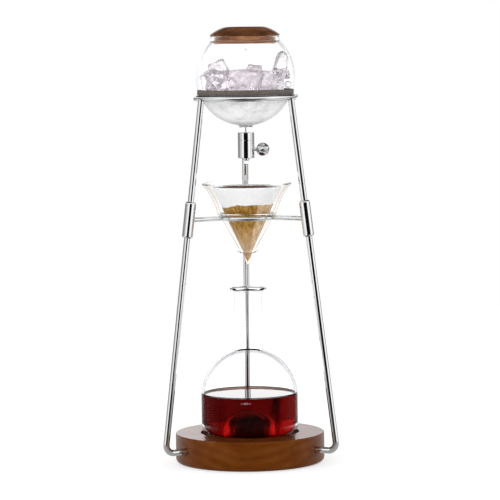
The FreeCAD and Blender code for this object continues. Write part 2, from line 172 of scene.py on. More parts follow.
# What shows through the coffee: share of the way from the camera's side to straight back, and its brightness
backdropStops = ((0.0, 0.16), (0.40, 0.14), (0.62, 0.2), (0.80, 0.42), (0.90, 0.86), (0.94, 1.0))


def roomForMetal(tree, parts, inCoffee):
    # Screens and cards at eye level, plain white over them and a dark ceiling on top
    front = addNode(tree, "Math", {0: 0}, {1: parts["Y"]}, operation="SUBTRACT")
    angle = addNode(tree, "Math", links={0: parts["X"], 1: front}, operation="ARCTAN2")
    lean = addNode(tree, "Math", {1: -studioSet["gapLean"]}, {0: parts["Z"]}, operation="MULTIPLY")
    leaning = addNode(tree, "Math", links={0: angle, 1: lean}, operation="ADD")
    share = addNode(tree, "MapRange", {"From Min": -math.pi, "From Max": math.pi}, {"Value": leaning})
    around = addNode(tree, "ValToRGB", links={0: share},
                     stops=[(0.5 + degrees / 360, bright) for degrees, bright in screenStops])
    over = addNode(tree, "ValToRGB", links={0: parts["Z"]}, stops=[(0.12, 0.0), (0.26, 1.0)])
    wall = addNode(tree, "Mix", {7: linear("#FFFFFF")}, {0: over, 6: around}, data_type="RGBA", out=2)
    # The ceiling comes down lower behind the object than in front of it
    drop = addNode(tree, "MapRange", {"From Min": -0.2, "From Max": 0.6, "To Max": studioSet["ceilingDrop"]},
                   {"Value": parts["Y"]})
    height = addNode(tree, "Math", links={0: parts["Z"], 1: drop}, operation="ADD")
    ceiling = addNode(tree, "ValToRGB", links={0: height},
                      stops=[(0.0, 1.0), (0.62, 1.0), (0.74, 0.05), (1.0, 0.05)])
    room = addNode(tree, "Mix", {0: 1.0}, {6: wall, 7: ceiling}, data_type="RGBA", blend_type="MULTIPLY",
                   out=2)
    # Behind the coffee the wood mirrors less of the room on the right, and the rod less of its near side
    right = addNode(tree, "MapRange", {"From Min": -0.1, "From Max": 0.15}, {"Value": parts["X"]})
    nearer = addNode(tree, "MapRange", {"From Min": -0.05, "From Max": -0.2}, {"Value": parts["Y"]})
    dimmed = addNode(tree, "Math", links={0: right, 1: nearer}, operation="MAXIMUM")
    shaded = addNode(tree, "Math", links={0: inCoffee, 1: dimmed}, operation="MULTIPLY")
    return addNode(tree, "Mix", {7: linear("#6A6A6A")}, {0: shaded, 6: room}, data_type="RGBA",
                   blend_type="MULTIPLY", out=2)


def backdropForGlass(tree, direction, parts, passed, inCoffee):
    # Clear glass sees white that fades overhead, and the coffee sees cards that brighten towards the back
    turn = math.radians(studioSet["backdropTurn"])
    ahead = addNode(tree, "VectorMath", {1: (-math.sin(turn), math.cos(turn), 0)}, {0: direction},
                    operation="DOT_PRODUCT", out="Value")
    share = addNode(tree, "MapRange", {"From Min": -1.0}, {"Value": ahead})
    cards = addNode(tree, "ValToRGB", links={0: share}, stops=backdropStops)
    # Behind the object the backdrop ends a little above eye level
    over = addNode(tree, "ValToRGB", links={0: parts["Z"]}, stops=[(0.16, 1.0), (0.36, 0.06)])
    cards = addNode(tree, "Mix", {0: 1.0}, {6: cards, 7: over}, data_type="RGBA", blend_type="MULTIPLY",
                    out=2)
    clear = addNode(tree, "ValToRGB", links={0: parts["Z"]}, stops=[(0.16, 1.0), (0.4, 0.3)])
    through = addNode(tree, "Mix", links={0: inCoffee, 6: clear, 7: cards}, data_type="RGBA", out=2)
    # The hollow under the coffee, two glass surfaces further in, mirrors bright cards at both sides
    inward = addNode(tree, "Math", {1: studioSet["hollowStarts"]}, {0: passed}, operation="GREATER_THAN")
    away = addNode(tree, "MapRange", {"From Min": -0.2, "From Max": 0.0}, {"Value": parts["Y"]})
    hollow = addNode(tree, "Math", links={0: inward, 1: away}, operation="MULTIPLY")
    lit = addNode(tree, "Mix", {0: 1.0, 7: (1.5, 1.5, 1.5, 1.0)}, {6: over}, data_type="RGBA",
                  blend_type="MULTIPLY", out=2)
    return addNode(tree, "Mix", links={0: hollow, 6: through, 7: lit}, data_type="RGBA", out=2)


def addWorld():
    # White all round, but metal and glass each see their own pattern of screens and cards
    world = bpy.data.worlds.new("studioWorld")
    world.use_nodes = True
    tree = world.node_tree
    tree.nodes.clear()
    direction = addNode(tree, "TexCoord", out="Generated")
    parts = addNode(tree, "SeparateXYZ", links={0: direction}, out="all")
    rays = addNode(tree, "LightPath", out="all")
    passed = rays["Transmission Depth"]
    inCoffee = addNode(tree, "Math", {1: studioSet["coffeeStarts"]}, {0: passed}, operation="GREATER_THAN")
    soft = addNode(tree, "Background", {"Color": linear("#FFFFFF"), "Strength": studioSet["fill"]})
    screens = addNode(tree, "Background", {"Strength": studioSet["screenStrength"]},
                      {"Color": roomForMetal(tree, parts, inCoffee)})
    backdrop = addNode(tree, "Background", {"Strength": studioSet["backdropStrength"]},
                       {"Color": backdropForGlass(tree, direction, parts, passed, inCoffee)})
    plain = addNode(tree, "Background", {"Color": linear("#FFFFFF"), "Strength": 1.0})
    light = addNode(tree, "MixShader", links={0: rays["Is Glossy Ray"], 1: soft, 2: screens})
    glassy = addNode(tree, "MixShader", links={0: rays["Is Transmission Ray"], 1: light, 2: backdrop})
    # Light that reaches a matt surface is the soft fill. What stands inside glass gets more of it, to make
    # up for what the walls keep back
    inGlass = addNode(tree, "Math", {1: 0.5}, {0: passed}, operation="GREATER_THAN")
    fill = addNode(tree, "MapRange", {"To Min": studioSet["fill"], "To Max": studioSet["fillInGlass"]},
                   {"Value": inGlass})
    raised = addNode(tree, "Background", {"Color": linear("#FFFFFF")}, {"Strength": fill})
    matt = addNode(tree, "Math", {1: 0.5}, {0: rays["Diffuse Depth"]}, operation="GREATER_THAN")
    spread = addNode(tree, "MixShader", links={0: matt, 1: glassy, 2: raised})
    seen = addNode(tree, "MixShader", links={0: rays["Is Camera Ray"], 1: spread, 2: plain})
    output = tree.nodes.new("ShaderNodeOutputWorld")
    tree.links.new(seen, output.inputs["Surface"])
    bpy.context.scene.world = world


def addFloor():
    # White to the eye, darker in what metal mirrors of it, and dim where it is seen through the coffee, where
    # it is a painted shadow
    material, tree, surface, place = newMaterial("paleStudioFloor")
    rays = addNode(tree, "LightPath", out="all")
    spot = addNode(tree, "SeparateXYZ", links={0: place}, out="all")
    lit = addNode(tree, "BsdfDiffuse", {"Color": linear(studioSet["floorColour"])})
    grain = addNode(tree, "TexNoise", {"Scale": 1.0, "Detail": 3.0},
                    {"Vector": stretched(tree, place, 90, 90, 90)})
    shade = addNode(tree, "ValToRGB", links={0: grain},
                    stops=[(0.3, linear("#B5B5B5")), (0.7, linear("#BBBBBB"))])
    shadow = addNode(tree, "BsdfDiffuse", links={"Color": shade})
    glow = addNode(tree, "Emission", {"Color": linear("#FFFFFF"), "Strength": 0.62})
    bare = addNode(tree, "AddShader", links={0: shadow, 1: glow})
    # Through both walls and the coffee, which turns left to right, only a dim floor shows: a dim glow painted
    # as the flask's shadow on the floor
    across = addNode(tree, "MapRange", {"From Min": -0.15, "From Max": 0.1,
                                        "To Min": studioSet["throughCoffeeRight"],
                                        "To Max": studioSet["throughCoffeeLeft"]}, {"Value": spot["X"]})
    near = addNode(tree, "MapRange", {"From Min": 0.56, "From Max": 0.68, "To Min": 1.6, "To Max": 1.0},
                   {"Value": spot["Y"]})
    lens = addNode(tree, "Math", links={0: across, 1: near}, operation="MULTIPLY")
    # Painted shadow: a weak glow in place of the lit floor
    shadowGlowThroughCoffee = addNode(tree, "Emission", {"Color": linear("#FFFFFF")}, {"Strength": lens})
    deep = addNode(tree, "Math", {1: studioSet["coffeeStarts"]}, {0: rays["Transmission Depth"]},
                   operation="GREATER_THAN")
    white = addNode(tree, "MixShader", links={0: deep, 1: bare, 2: shadowGlowThroughCoffee})
    # Metal mirrors it black in front of the object, and lighter to the sides and behind
    aside = addNode(tree, "Math", links={0: spot["X"]}, operation="ABSOLUTE")
    spread = addNode(tree, "Math", {1: 1.3}, {0: aside, 2: spot["Y"]}, operation="MULTIPLY_ADD")
    share = addNode(tree, "MapRange", {"From Min": -1.2, "From Max": 0.6}, {"Value": spread})
    nearness = addNode(tree, "ValToRGB", links={0: share}, stops=[
        (0.0, 0.12), (0.3, 0.09), (0.45, 0.05), (0.55, 0.09), (0.72, 0.45), (1.0, 0.75)])
    mirrored = addNode(tree, "Emission", {"Strength": 1.0}, {"Color": nearness})
    first = addNode(tree, "MixShader", links={0: rays["Is Glossy Ray"], 1: lit, 2: mirrored})
    wanted = addNode(tree, "Math", links={0: rays["Is Camera Ray"], 1: rays["Is Transmission Ray"]},
                     operation="MAXIMUM")
    tree.links.new(addNode(tree, "MixShader", links={0: wanted, 1: first, 2: white}), surface)
    build = bmesh.new()
    bmesh.ops.create_grid(build, x_segments=1, y_segments=1, size=studioSet["floorSize"])
    mesh = bpy.data.meshes.new("studioFloor")
    build.to_mesh(mesh)
    build.free()
    mesh.materials.append(material)
    floor = bpy.data.objects.new("studioFloor", mesh)
    bpy.context.scene.collection.objects.link(floor)


def addKeyLamp():
    data = bpy.data.lights.new("softKey", "AREA")
    data.energy = studioSet["keyPower"]
    data.size = studioSet["keySize"]
    lamp = bpy.data.objects.new("softKey", data)
    bpy.context.scene.collection.objects.link(lamp)
    lamp.location = studioSet["keyPlace"]
    aim = Vector(studioSet["keyAim"]) - lamp.location
    lamp.rotation_euler = aim.to_track_quat("-Z", "Y").to_euler()
    lamp.visible_glossy = False
    lamp.visible_transmission = False


def allowDeepGlass():
    # Enough bounces for both walls of the glass, the coffee, and what stands in and behind them
    cycles = bpy.context.scene.cycles
    cycles.max_bounces = 32
    cycles.transmission_bounces = 32
    cycles.glossy_bounces = 12
    cycles.transparent_max_bounces = 32
    print("studio lit")


# Metal

def polishedStainless():
    # Stainless wire and turned steel, buffed to a mirror: sharp white and black stripes of the room,
    # blurred a little by fine buffing marks that run round the piece
    material, tree, surface, place = newMaterial("polishedStainlessSteel")
    buffing = addNode(tree, "TexNoise", {"Scale": 1.0, "Detail": 4.0},
                      {"Vector": stretched(tree, place, 2.5, 2.5, 0.35)})
    gloss = addNode(tree, "MapRange", {"From Min": 0.3, "From Max": 0.7, "To Min": 0.02, "To Max": 0.06},
                    {"Value": buffing})
    smear = addNode(tree, "TexNoise", {"Scale": 1.0, "Detail": 2.0},
                    {"Vector": stretched(tree, place, 18, 18, 18)})
    tone = addNode(tree, "ValToRGB", links={0: smear},
                   stops=[(0.3, linear("#E4E5E6")), (0.7, linear("#ECECEC"))])
    marks = addNode(tree, "Bump", {"Strength": 0.02, "Distance": 0.05 * mm}, {"Height": buffing})
    steel = addNode(tree, "BsdfPrincipled", {"Metallic": 1.0},
                    {"Base Color": tone, "Roughness": gloss, "Normal": marks})
    tree.links.new(steel, surface)
    return material


def satinStainless():
    # Stainless steel ball, polished by hand: a softer mirror than the wire's, with fine scratches all ways
    material, tree, surface, place = newMaterial("handPolishedStainlessSteel")
    scratches = addNode(tree, "TexNoise", {"Scale": 1.0, "Detail": 6.0},
                        {"Vector": stretched(tree, place, 0.8, 0.8, 0.8)})
    gloss = addNode(tree, "MapRange", {"From Min": 0.3, "From Max": 0.7, "To Min": 0.14, "To Max": 0.2},
                    {"Value": scratches})
    marks = addNode(tree, "Bump", {"Strength": 0.03, "Distance": 0.05 * mm}, {"Height": scratches})
    tone = addNode(tree, "ValToRGB", links={0: scratches},
                   stops=[(0.3, linear("#C6C6C8")), (0.7, linear("#D2D2D3"))])
    steel = addNode(tree, "BsdfPrincipled", {"Metallic": 1.0},
                    {"Base Color": tone, "Roughness": gloss, "Normal": marks})
    tree.links.new(steel, surface)
    return material


def turnedBrass():
    # Free-cutting brass, turned on a lathe and left bare: a dull gold, mottled where it has tarnished
    material, tree, surface, place = newMaterial("turnedBrass")
    tarnish = addNode(tree, "TexNoise", {"Scale": 1.0, "Detail": 5.0},
                      {"Vector": stretched(tree, place, 0.6, 0.6, 0.6)})
    tone = addNode(tree, "ValToRGB", links={0: tarnish},
                   stops=[(0.35, linear("#6B5636")), (0.65, linear("#A88A55"))])
    marks = addNode(tree, "Bump", {"Strength": 0.3, "Distance": 0.1 * mm}, {"Height": tarnish})
    brass = addNode(tree, "BsdfPrincipled", {"Metallic": 1.0, "Roughness": 0.38},
                    {"Base Color": tone, "Normal": marks})
    tree.links.new(brass, surface)
    return material


def blackenedSteel():
    # Alloy steel set screw, heat blackened: near black, with a mottled grey bloom
    material, tree, surface, place = newMaterial("blackenedSteel")
    bloom = addNode(tree, "TexNoise", {"Scale": 1.0, "Detail": 6.0},
                    {"Vector": stretched(tree, place, 1.2, 1.2, 1.2)})
    tone = addNode(tree, "ValToRGB", links={0: bloom},
                   stops=[(0.35, linear("#26272A")), (0.7, linear("#4A4A4B"))])
    marks = addNode(tree, "Bump", {"Strength": 0.25, "Distance": 0.08 * mm}, {"Height": bloom})
    steel = addNode(tree, "BsdfPrincipled", {"Metallic": 1.0, "Roughness": 0.45},
                    {"Base Color": tone, "Normal": marks})
    tree.links.new(steel, surface)
    return material


# Glass

# For each piece: its IOR, lower than the real 1.47 so that its edges stay thin, where its tone starts to grey
# on the way to the edge, the grey half way there and the grey at the edge itself. The grey is painted edge
# shade
glassSet = {
    "globe": {"name": "blownGlobeGlass", "ior": 1.42, "start": 0.6, "halfway": "#E4E4E8",
              "edge": "#9696A0"},
    "flask": {"name": "blownFlaskGlass", "ior": 1.34, "start": 0.57, "halfway": "#D9D9DD",
              "edge": "#6A6A72"},
    "dripper_cone": {"name": "pressedDripperGlass", "ior": 1.12, "start": 0.48, "halfway": "#DDD8D2",
                     "edge": "#867C74"},
}


def clearGlass(glass):
    # Borosilicate glass, blown, or pressed for the dripper: clear, with slow waves in its wall. It mirrors
    # little where it faces the eye, and its colour is greyed at its edges, where the eye looks along the
    # wall: painted edge shade
    material, tree, surface, place = newMaterial(glass["name"])
    waves = addNode(tree, "TexNoise", {"Scale": 1.0, "Detail": 1.0},
                    {"Vector": stretched(tree, place, 22, 22, 30)})
    wall = addNode(tree, "Bump", {"Strength": 0.12, "Distance": 0.02 * mm}, {"Height": waves})
    # Painted shade: the colour turns grey as the surface turns edge-on to the eye
    aslant = addNode(tree, "LayerWeight", {"Blend": 0.5}, out="Facing")
    tone = addNode(tree, "ValToRGB", links={0: aslant}, stops=[
        (glass["start"], linear("#FFFFFF")), ((glass["start"] + 1) / 2, linear(glass["halfway"])),
        (0.97, linear(glass["edge"]))])
    plain = addNode(tree, "BsdfRefraction", {"Roughness": 0.0, "IOR": glass["ior"]},
                    {"Color": tone, "Normal": wall})
    shiny = addNode(tree, "BsdfPrincipled", {"Roughness": 0.0, "IOR": glass["ior"],
                                             "Transmission Weight": 1.0, "Specular Tint": linear("#6A6A6A")},
                    {"Base Color": tone, "Normal": wall})
    # Light inside the wall is mirrored back at any slant, light from outside only at the edges
    grazing = addNode(tree, "MapRange", {"From Min": 0.6, "From Max": 0.9}, {"Value": aslant})
    inside = addNode(tree, "NewGeometry", out="Backfacing")
    mirrors = addNode(tree, "Math", links={0: grazing, 1: inside}, operation="MAXIMUM")
    seenByLamps(tree, surface, addNode(tree, "MixShader", links={0: mirrors, 1: plain, 2: shiny}))
    return material


# Wood

# Stains from dark to light, distance between growth rings in mm, offset of the tree's heart, height of the
# rubbed top, and the height under which the wood's colour is made lighter
baseWood = {"name": "lacqueredBaseWood", "stains": ("#62300A", "#6F3A11", "#7A451A"), "ring": 10.0,
            "heart": (0, 0.02, 0.06), "top": 33.1 * mm, "paleBelow": 0}
lidWood = {"name": "lacqueredLidWood", "stains": ("#40220E", "#5E3820", "#865A36"), "ring": 8.0,
           "heart": (0, 0.015, -0.44), "top": 481.8 * mm, "paleBelow": 471.4 * mm}


def lacqueredWood(wood):
    # Close-grained hardwood, stained brown under a satin lacquer: a faint, blotchy figure of growth rings,
    # short dark pores along the grain, and a top that is rubbed to a shine and mirrors the room at low angles
    material, tree, surface, place = newMaterial(wood["name"])
    centred = addNode(tree, "Mapping", {"Location": wood["heart"]}, {"Vector": place})
    drift = addNode(tree, "TexNoise", {"Scale": 1.0, "Detail": 2.0},
                    {"Vector": stretched(tree, place, 70, 24, 24)}, out="Color")
    swayed = addNode(tree, "VectorMath", {1: (0, 9 * mm, 9 * mm)}, {0: drift}, operation="MULTIPLY")
    bent = addNode(tree, "VectorMath", links={0: centred, 1: swayed}, operation="ADD")
    # A wave texture has one ring in each 2 pi / 20 of its own unit
    rings = addNode(tree, "TexWave", {"Scale": 2 * math.pi / 20 / (wood["ring"] * mm), "Distortion": 0.6,
                                      "Detail": 2.0, "Detail Scale": 1.5},
                    {"Vector": bent}, wave_type="RINGS", rings_direction="X", wave_profile="SIN", out="Fac")
    blotch = addNode(tree, "TexNoise", {"Scale": 1.0, "Detail": 4.0, "Roughness": 0.6},
                     {"Vector": stretched(tree, place, 34, 15, 15)})
    pores = addNode(tree, "TexNoise", {"Scale": 1.0, "Detail": 3.0, "Roughness": 0.7},
                    {"Vector": stretched(tree, place, 7, 0.7, 0.7)})
    figure = addNode(tree, "Mix", {0: 0.85}, {2: rings, 3: blotch}, data_type="FLOAT")
    dark, middle, light = wood["stains"]
    tone = addNode(tree, "ValToRGB", links={0: figure},
                   stops=[(0.28, linear(dark)), (0.5, linear(middle)), (0.72, linear(light))])
    fleck = addNode(tree, "ValToRGB", links={0: pores}, stops=[(0.34, 0.72), (0.46, 1.0), (1.0, 1.0)])
    stained = addNode(tree, "Mix", {0: 0.45}, {6: tone, 7: fleck}, data_type="RGBA",
                      blend_type="MULTIPLY", out=2)
    # Below that height the colour is made lighter
    pale = addNode(tree, "HueSaturation", {"Saturation": 0.95, "Value": 2.1}, {"Color": stained})
    height = addNode(tree, "SeparateXYZ", links={0: place}, out="Z")
    bare = addNode(tree, "Math", {1: wood["paleBelow"]}, {0: height}, operation="LESS_THAN")
    colour = addNode(tree, "Mix", links={0: bare, 6: stained, 7: pale}, data_type="RGBA", out=2)
    relief = addNode(tree, "Bump", {"Strength": 0.1, "Distance": 0.03 * mm}, {"Height": pores})
    rough = addNode(tree, "MapRange", {"From Min": 0.3, "From Max": 0.7, "To Min": 0.20, "To Max": 0.27},
                    {"Value": blotch})
    # Only the top is rubbed, not the seat that is sunk into it
    normal = addNode(tree, "NewGeometry", out="Normal")
    upward = addNode(tree, "SeparateXYZ", links={0: normal}, out="Z")
    level = addNode(tree, "MapRange", {"From Min": 0.7, "From Max": 0.98, "To Max": 0.8}, {"Value": upward})
    outer = addNode(tree, "MapRange", {"From Min": wood["top"] - 1.6 * mm,
                                       "From Max": wood["top"] - 0.8 * mm}, {"Value": height})
    rubbed = addNode(tree, "Math", links={0: level, 1: outer}, operation="MULTIPLY")
    lacquered = addNode(tree, "BsdfPrincipled", {"Specular Tint": linear("#404040"), "Coat Roughness": 0.2,
                                                 "Coat Tint": linear("#FFF3F3")},
                        {"Base Color": colour, "Roughness": rough, "Normal": relief, "Coat Weight": rubbed})
    tree.links.new(lacquered, surface)
    return material


# Rubber and silicone

padRubber = {"name": "mouldedRubberPad", "dark": "#1E1E1F", "light": "#2A2A2B", "rough": 0.75}
gasketSilicone = {"name": "clearGasketSilicone", "dark": "#BFC1C2", "light": "#D2D3D4", "rough": 0.4}
sealSilicone = {"name": "brownSealSilicone", "dark": "#82604A", "light": "#966F56", "rough": 0.5}
cushionSilicone = {"name": "taupeCushionSilicone", "dark": "#5F5650", "light": "#716862", "rough": 0.5}


def mouldedSilicone(mix):
    # Moulded silicone, or rubber for the pad: an even matt skin with a faint bloom and a very fine grit
    material, tree, surface, place = newMaterial(mix["name"])
    bloom = addNode(tree, "TexNoise", {"Scale": 1.0, "Detail": 5.0},
                    {"Vector": stretched(tree, place, 6, 6, 3)})
    grit = addNode(tree, "TexNoise", {"Scale": 1.0, "Detail": 2.0},
                   {"Vector": stretched(tree, place, 0.5, 0.5, 0.5)})
    tone = addNode(tree, "ValToRGB", links={0: bloom},
                   stops=[(0.35, linear(mix["dark"])), (0.65, linear(mix["light"]))])
    skin = addNode(tree, "Bump", {"Strength": 0.2, "Distance": 0.05 * mm}, {"Height": grit})
    silicone = addNode(tree, "BsdfPrincipled", {"Roughness": mix["rough"], "IOR": 1.42},
                       {"Base Color": tone, "Normal": skin})
    tree.links.new(silicone, surface)
    return material


# Ice and water in the globe

globeSet = {"middle": 427.361 * mm, "inside": 52.4 * mm, "neckInside": 4.85 * mm, "flare": 3.2 * mm,
            "iceBottom": 373.6 * mm, "shadeFrom": 384 * mm, "shadeTo": 374 * mm, "iceTop": 408.8 * mm,
            "wetting": 0.12 * mm}


def crushedIce():
    # Crushed ice packed in melt water: white and finely mottled by its many small faces, with painted shade
    # greying it towards the bottom, over the neck
    material, tree, surface, place = newMaterial("crushedIceInWater")
    grains = addNode(tree, "TexNoise", {"Scale": 1.0, "Detail": 5.0, "Roughness": 0.62, "Distortion": 0.6},
                     {"Vector": stretched(tree, place, 15, 15, 10)})
    crystals = addNode(tree, "TexNoise", {"Scale": 1.0, "Detail": 3.0, "Roughness": 0.7, "Distortion": 1.2},
                       {"Vector": stretched(tree, place, 6, 6, 4)})
    relief = addNode(tree, "Bump", {"Strength": 0.5, "Distance": 1.0 * mm}, {"Height": grains})
    mottled = addNode(tree, "Mix", {0: 0.35}, {2: grains, 3: crystals}, data_type="FLOAT")
    white = addNode(tree, "ValToRGB", links={0: mottled}, stops=[
        (0.36, linear("#E4E5E6")), (0.5, linear("#FBFBFC")), (0.6, linear("#FFFFFF"))])
    # Painted shade: the fill is darkened towards its bottom, over the neck
    height = addNode(tree, "SeparateXYZ", links={0: place}, out="Z")
    neck = addNode(tree, "MapRange", {"From Min": globeSet["shadeTo"], "From Max": globeSet["shadeFrom"]},
                   {"Value": height})
    bottomShade = addNode(tree, "ValToRGB", links={0: neck}, stops=[(0.0, 0.6), (0.6, 0.95), (1.0, 1.0)])
    tone = addNode(tree, "Mix", {0: 1.0}, {6: white, 7: bottomShade}, data_type="RGBA", blend_type="MULTIPLY", out=2)
    haze = addNode(tree, "MapRange", {"From Min": 0.35, "From Max": 0.6, "To Min": 0.95, "To Max": 1.0},
                   {"Value": grains})
    clear = addNode(tree, "BsdfPrincipled", {"Base Color": linear("#F2F3F4"), "Roughness": 0.12, "IOR": 1.31,
                                             "Transmission Weight": 1.0}, {"Normal": relief})
    packed = addNode(tree, "BsdfDiffuse", links={"Color": tone, "Normal": relief})
    seenByLamps(tree, surface, addNode(tree, "MixShader", links={0: haze, 1: clear, 2: packed}))
    return material


def addIceFill(material):
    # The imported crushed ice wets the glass, from a plug wedged over the neck up to its uneven top
    middle, top, low = globeSet["middle"], globeSet["iceTop"], globeSet["iceBottom"]
    radius = globeSet["inside"] + globeSet["wetting"]
    flareEnd = globeSet["neckInside"] + globeSet["flare"]
    flareHeight = middle - math.sqrt(globeSet["inside"] ** 2 - flareEnd ** 2) - globeSet["flare"]
    flare = globeSet["flare"] - globeSet["wetting"]
    wedge = math.degrees(math.asin((low - flareHeight) / flare))
    start = -math.degrees(math.acos(flareEnd / radius))
    end = math.degrees(math.asin((top - middle) / radius))
    rim = radius * math.cos(math.radians(end))
    outline = [(0, low + 1.0 * mm), (2.6 * mm, low + 0.6 * mm)]
    outline += arc(flareEnd, flareHeight, flare, 180 - wedge, 90, 6)
    outline += arc(0, middle, radius, start, end, 26)
    outline += [(rim * share, top) for share in (0.94, 0.86, 0.77, 0.67, 0.56, 0.44, 0.31, 0.17, 0)]
    build = turned(outline)
    for vert in build.verts:
        flat = Vector((vert.co.x, vert.co.y, 0))
        if vert.co.z > top - 0.01 * mm and flat.length < rim * 0.96:
            vert.co.z += 2.4 * mm * noise.noise(flat / (9 * mm)) - 0.6 * mm
    finished(build, "crushedIceFill", "globe", material, replaces=("ice_water",))


def clearIce():
    # Freezer ice, wet: clear with soft grey edges, cloudy in patches where it holds trapped air
    material, tree, surface, place = newMaterial("wetClearIce")
    lumps = addNode(tree, "TexNoise", {"Scale": 1.0, "Detail": 3.0},
                    {"Vector": stretched(tree, place, 5, 5, 5)})
    relief = addNode(tree, "Bump", {"Strength": 0.55, "Distance": 0.5 * mm}, {"Height": lumps})
    trapped = addNode(tree, "TexNoise", {"Scale": 1.0, "Detail": 4.0, "Roughness": 0.6},
                      {"Vector": stretched(tree, place, 8, 8, 8)})
    # The blocks in the middle froze fast and hold more air
    across = addNode(tree, "SeparateXYZ", links={0: place}, out="X")
    off = addNode(tree, "Math", {1: -10 * mm}, {0: across}, operation="ADD")
    aside = addNode(tree, "Math", links={0: off}, operation="ABSOLUTE")
    fast = addNode(tree, "MapRange", {"From Min": 21 * mm, "From Max": 26 * mm,
                                      "To Min": 0.11, "To Max": 0.0}, {"Value": aside})
    air = addNode(tree, "Math", links={0: trapped, 1: fast}, operation="ADD")
    cloudy = addNode(tree, "MapRange", {"From Min": 0.45, "From Max": 0.75, "To Min": 0.02, "To Max": 0.55},
                     {"Value": air})
    tone = addNode(tree, "ValToRGB", links={0: air}, stops=[
        (0.38, linear("#FFFFFF")), (0.56, linear("#E6E2E5")), (0.7, linear("#CFC8CD"))])
    clear = addNode(tree, "BsdfPrincipled", {"Roughness": 0.03, "IOR": 1.22, "Transmission Weight": 1.0,
                                             "Specular Tint": linear("#B0B0B0")},
                    {"Base Color": tone, "Normal": relief})
    cloud = addNode(tree, "BsdfDiffuse", {"Color": linear("#E2DEE3")}, {"Normal": relief})
    seenByLamps(tree, surface, addNode(tree, "MixShader", links={0: cloudy, 1: clear, 2: cloud}))
    return material


# Each chunk: its middle in mm from the axis and above the fill, its size in mm, its turn about Z and its tilt
# about X and Y in degrees
chunkSet = (
    {"place": (-43, -9, 12), "size": (14, 16, 18), "turn": 20, "tilt": (8, -12)},
    {"place": (-27, -11, 20), "size": (19, 15, 27), "turn": -8, "tilt": (-4, -24)},
    {"place": (-37, -12, 19), "size": (13, 12, 12), "turn": 12, "tilt": (6, -30)},
    {"place": (-31, -24, 9), "size": (19, 15, 16), "turn": -20, "tilt": (4, 6)},
    {"place": (-1, -29, 13), "size": (27, 17, 25), "turn": 4, "tilt": (2, -2)},
    {"place": (11, -18, 27), "size": (15, 9, 6), "turn": -12, "tilt": (6, 14)},
    {"place": (27, -24, 12), "size": (24, 17, 23), "turn": -14, "tilt": (-3, 8)},
    {"place": (39, -8, 21), "size": (14, 15, 10), "turn": 25, "tilt": (4, -6)},
    {"place": (40, 2, 34), "size": (11, 13, 18), "turn": 15, "tilt": (-4, 18)},
    {"place": (-30, 18, 12), "size": (20, 19, 20), "turn": -35, "tilt": (10, 8)},
    {"place": (-4, 26, 12), "size": (22, 20, 22), "turn": 15, "tilt": (6, 10)},
    {"place": (24, 22, 12), "size": (21, 19, 20), "turn": 42, "tilt": (5, -12)},
)


def addIceChunks(material):
    # Cubes that have melted and cracked into uneven blocks, kept inside the glass
    draw = random.Random(7)
    centre = Vector((0, 0, globeSet["middle"]))
    room = globeSet["inside"] - 0.5 * mm
    whole = bmesh.new()
    for number, chunk in enumerate(chunkSet):
        build = bmesh.new()
        bmesh.ops.create_cube(build, size=1.0)
        for vert in build.verts:
            vert.co += Vector([draw.uniform(-0.14, 0.14) for axis in range(3)])
            vert.co.xy *= 1.08 - 0.22 * (vert.co.z + 0.5)
        bmesh.ops.bevel(build, geom=build.edges[:], offset=0.14, offset_type="OFFSET", segments=2,
                        profile=0.5, affect="EDGES", material=-1)
        bmesh.ops.subdivide_edges(build, edges=build.edges[:], cuts=2, use_grid_fill=True)
        for again in range(2):
            bmesh.ops.smooth_vert(build, verts=build.verts, factor=0.5, use_axis_x=True, use_axis_y=True,
                                  use_axis_z=True)
        size = Vector(chunk["size"]) * mm
        turn = (Matrix.Rotation(math.radians(chunk["turn"]), 3, "Z")
                @ Matrix.Rotation(math.radians(chunk["tilt"][0]), 3, "X")
                @ Matrix.Rotation(math.radians(chunk["tilt"][1]), 3, "Y"))
        x, y, up = chunk["place"]
        middle = Vector((x, y, 0)) * mm + Vector((0, 0, globeSet["iceTop"] + up * mm))
        for vert in build.verts:
            wear = noise.noise(vert.co * 2.4 + Vector((number * 7, 0, 0))) * 0.2 + 0.14
            local = vert.co * (1 + wear)
            vert.co = turn @ Vector([a * b for a, b in zip(local, size)]) + middle
            out = vert.co - centre
            if out.length > room:
                vert.co = centre + out.normalized() * room
        part = bpy.data.meshes.new("chunk")
        build.to_mesh(part)
        build.free()
        whole.from_mesh(part)
        bpy.data.meshes.remove(part)
    finished(whole, "iceChunks", "globe", material, replaces=("ice_cubes",))


# Each bubble under the glass: its middle and its radius in mm. One is large, some lie in a row on top of the
# middle block and some in a curl on its front
bubbleSet = [{"place": (48.3, -12, 417.6), "radius": 3.7}]
bubbleSet += [{"place": (-6 + 2.9 * step, -38, 433.4 - 0.2 * (step % 2)), "radius": 1.3} for step in range(7)]
bubbleSet += [{"place": (-9.5 + 1.6 * step, -46, 418.2 - 0.28 * (step - 3.4) ** 2), "radius": 1.1}
              for step in range(7)]


def airBubble():
    # Air trapped in melt water: clear in the middle, with a dark edge that is painted shade
    material, tree, surface, place = newMaterial("trappedAirBubble")
    waves = addNode(tree, "TexNoise", {"Scale": 1.0}, {"Vector": stretched(tree, place, 4, 4, 4)})
    skin = addNode(tree, "Bump", {"Strength": 0.1, "Distance": 0.1 * mm}, {"Height": waves})
    # Painted shade: the colour greys where the surface turns edge-on to the eye
    aslant = addNode(tree, "LayerWeight", {"Blend": 0.5}, out="Facing")
    tone = addNode(tree, "ValToRGB", links={0: aslant},
                   stops=[(0.2, linear("#F4F0F4")), (0.75, linear("#8A828A"))])
    air = addNode(tree, "BsdfPrincipled", {"Roughness": 0.0, "IOR": 1.12, "Transmission Weight": 1.0,
                                           "Specular Tint": linear("#808080")},
                  {"Base Color": tone, "Normal": skin})
    seenByLamps(tree, surface, air)
    return material


